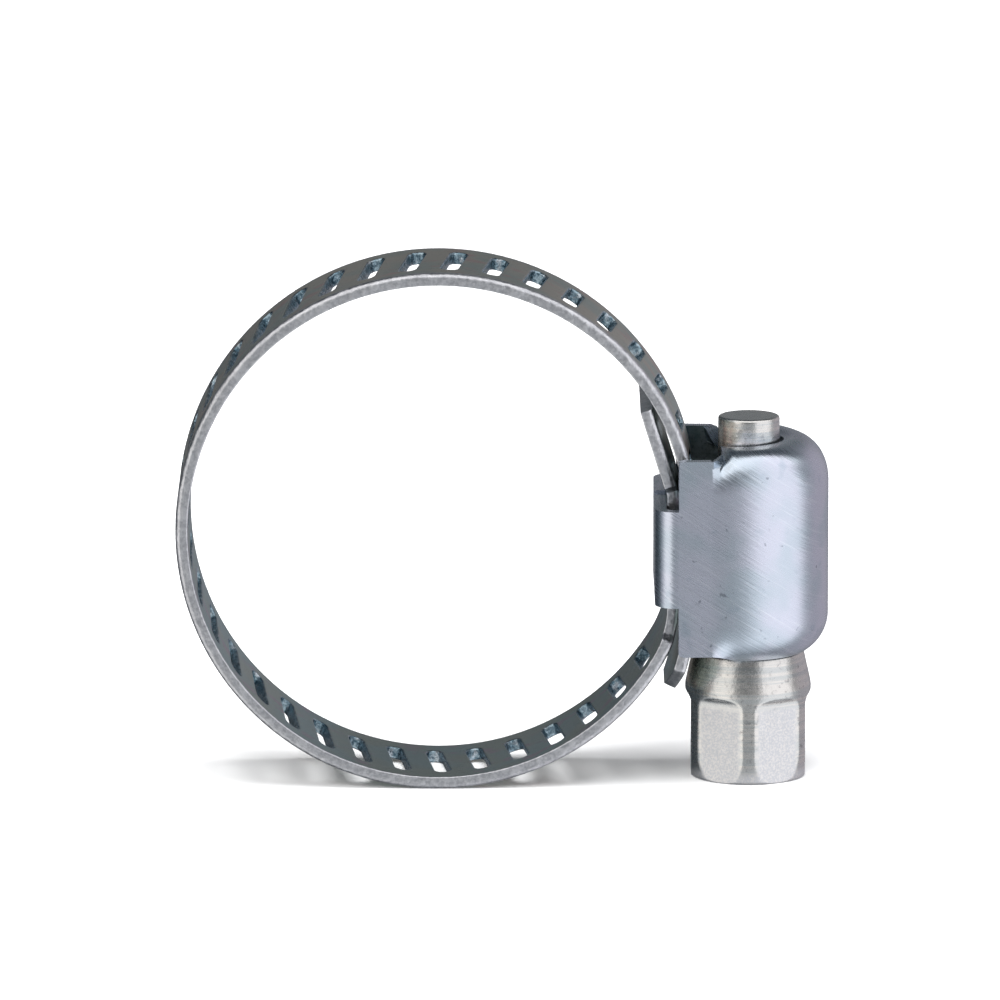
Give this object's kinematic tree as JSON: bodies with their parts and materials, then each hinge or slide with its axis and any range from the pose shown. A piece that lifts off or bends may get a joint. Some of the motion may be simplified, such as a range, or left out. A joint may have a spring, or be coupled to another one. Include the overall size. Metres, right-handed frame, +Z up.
{
  "type": "hose clamp",
  "caption": "Worm-drive hose clamp: perforated steel band, stamped housing and hex-head screw that draws the band tight around a hose.",
  "frame": {"origin": "centre of the bounding box's footprint, on the plane that the ring's lowest point and the hex head stand on", "axes": "+Z up along the screw's axis, from the hex head to the journal; +X from the ring to the housing; Y along the hose and the ring's axis"},
  "size_m": [0.0342, 0.011, 0.0275],
  "materials": {
    "band_zinc": "dull rolled zinc-plated strip, semi-matte",
    "housing_zinc": "bright blue zinc plating with fine brushed scratches",
    "screw_zinc": "zinc plated, turned collar and frosted cold-formed flats"
  },
  "bodies": {
    "housing": {"housing": "housing_zinc", "band_fixed_end": "band_zinc"},
    "screw": {"worm_screw": "screw_zinc"},
    "section_01": {"band_section_01": "band_zinc"},
    "section_02": {"band_section_02": "band_zinc"},
    "section_03": {"band_section_03": "band_zinc"},
    "section_04": {"band_section_04": "band_zinc"},
    "section_05": {"band_section_05": "band_zinc"},
    "section_06": {"band_section_06": "band_zinc"},
    "section_07": {"band_section_07": "band_zinc"},
    "section_08": {"band_section_08": "band_zinc"},
    "section_09": {"band_section_09": "band_zinc"},
    "section_10": {"band_section_10": "band_zinc"},
    "section_11": {"band_section_11": "band_zinc"},
    "entry_section": {"band_entry_section": "band_zinc"},
    "drive_section": {"band_drive_section": "band_zinc"},
    "tail_tip": {"band_tail_tip": "band_zinc"},
    "tongue": {"band_tongue": "band_zinc"}
  },
  "joints": [
    {"name": "screw_spin", "type": "hinge", "parent": "housing", "child": "screw", "pos_m": [0.01294, 0, 0.01375], "axis": [0, 0, 1], "range_deg": [-180, 540]},
    {"name": "flex_section_01", "type": "hinge", "parent": "housing", "child": "section_01", "pos_m": [0.00819, 0, 0.00697], "axis": [0, 1, 0], "range_deg": [-0.53, 0.99], "stiffness_Nm_per_rad": 0.00712, "springref_deg": -0.12},
    {"name": "flex_section_02", "type": "hinge", "parent": "section_01", "child": "section_02", "pos_m": [0.00375, 0, 0.00238], "axis": [0, 1, 0], "range_deg": [-0.57, 1.11], "stiffness_Nm_per_rad": 0.00688, "springref_deg": 0.05},
    {"name": "flex_section_03", "type": "hinge", "parent": "section_02", "child": "section_03", "pos_m": [-0.00232, 0, 0.00037], "axis": [0, 1, 0], "range_deg": [-0.61, 1.24], "stiffness_Nm_per_rad": 0.00656, "springref_deg": 0.37},
    {"name": "flex_section_04", "type": "hinge", "parent": "section_03", "child": "section_04", "pos_m": [-0.00862, 0, 0.00139], "axis": [0, 1, 0], "range_deg": [-0.66, 1.37], "stiffness_Nm_per_rad": 0.00592, "springref_deg": -0.24},
    {"name": "flex_section_05", "type": "hinge", "parent": "section_04", "child": "section_05", "pos_m": [-0.01374, 0, 0.0052], "axis": [0, 1, 0], "range_deg": [-0.69, 1.46], "stiffness_Nm_per_rad": 0.0052, "springref_deg": -1.01},
    {"name": "flex_section_06", "type": "hinge", "parent": "section_05", "child": "section_06", "pos_m": [-0.01652, 0, 0.01096], "axis": [0, 1, 0], "range_deg": [-0.7, 1.5], "stiffness_Nm_per_rad": 0.00456, "springref_deg": -1.55},
    {"name": "flex_section_07", "type": "hinge", "parent": "section_06", "child": "section_07", "pos_m": [-0.01633, 0, 0.01734], "axis": [0, 1, 0], "range_deg": [-0.69, 1.47], "stiffness_Nm_per_rad": 0.00448, "springref_deg": -1.55},
    {"name": "flex_section_08", "type": "hinge", "parent": "section_07", "child": "section_08", "pos_m": [-0.0132, 0, 0.02291], "axis": [0, 1, 0], "range_deg": [-0.67, 1.42], "stiffness_Nm_per_rad": 0.00352, "springref_deg": -1.55},
    {"name": "flex_section_09", "type": "hinge", "parent": "section_08", "child": "section_09", "pos_m": [-0.00785, 0, 0.02641], "axis": [0, 1, 0], "range_deg": [-0.65, 1.35], "stiffness_Nm_per_rad": 0.00224, "springref_deg": -1.54},
    {"name": "flex_section_10", "type": "hinge", "parent": "section_09", "child": "section_10", "pos_m": [-0.0015, 0, 0.02704], "axis": [0, 1, 0], "range_deg": [-0.64, 1.31], "stiffness_Nm_per_rad": 0.00112, "springref_deg": -1.46},
    {"name": "flex_section_11", "type": "hinge", "parent": "section_10", "child": "section_11", "pos_m": [0.00443, 0, 0.02466], "axis": [0, 1, 0], "range_deg": [-0.63, 1.29], "stiffness_Nm_per_rad": 0.000352, "springref_deg": -1.38},
    {"name": "flex_entry_section", "type": "hinge", "parent": "section_11", "child": "entry_section", "pos_m": [0.00859, 0, 0.01981], "axis": [0, 1, 0], "range_deg": [-0.97, 2.31], "stiffness_Nm_per_rad": 0.0000568, "springref_deg": -0.7},
    {"name": "drive_travel", "type": "slide", "parent": "housing", "child": "drive_section", "axis": [0, 0, -1], "range_m": [-0.00112, 0.00328]},
    {"name": "flex_tail_tip", "type": "hinge", "parent": "drive_section", "child": "tail_tip", "pos_m": [0.00975, 0, 0.01139], "axis": [0, 1, 0], "range_deg": [-4, 11.39], "stiffness_Nm_per_rad": 0.00018, "springref_deg": 0.12},
    {"name": "flex_tongue", "type": "hinge", "parent": "housing", "child": "tongue", "pos_m": [0.00889, 0, 0.01577], "axis": [0, 1, 0], "range_deg": [-4, 1.53], "stiffness_Nm_per_rad": 0.00014, "springref_deg": 0.54}
  ],
  "couplings": [
    {"joint": "flex_section_01", "follows": "screw_spin", "ratio": 0.0012798},
    {"joint": "flex_section_02", "follows": "screw_spin", "ratio": 0.0014988},
    {"joint": "flex_section_03", "follows": "screw_spin", "ratio": 0.0017451},
    {"joint": "flex_section_04", "follows": "screw_spin", "ratio": 0.0019812},
    {"joint": "flex_section_05", "follows": "screw_spin", "ratio": 0.0021523},
    {"joint": "flex_section_06", "follows": "screw_spin", "ratio": 0.0022139},
    {"joint": "flex_section_07", "follows": "screw_spin", "ratio": 0.0021729},
    {"joint": "flex_section_08", "follows": "screw_spin", "ratio": 0.0020702},
    {"joint": "flex_section_09", "follows": "screw_spin", "ratio": 0.0019539},
    {"joint": "flex_section_10", "follows": "screw_spin", "ratio": 0.0018683},
    {"joint": "flex_section_11", "follows": "screw_spin", "ratio": 0.0018273},
    {"joint": "flex_entry_section", "follows": "screw_spin", "ratio": 0.0037127},
    {"joint": "drive_travel", "follows": "screw_spin", "m_per_rad": 0.00034218},
    {"joint": "flex_tail_tip", "follows": "screw_spin", "ratio": 0.020531},
    {"joint": "flex_tongue", "follows": "screw_spin", "ratio": -0.0068437}
  ]
}
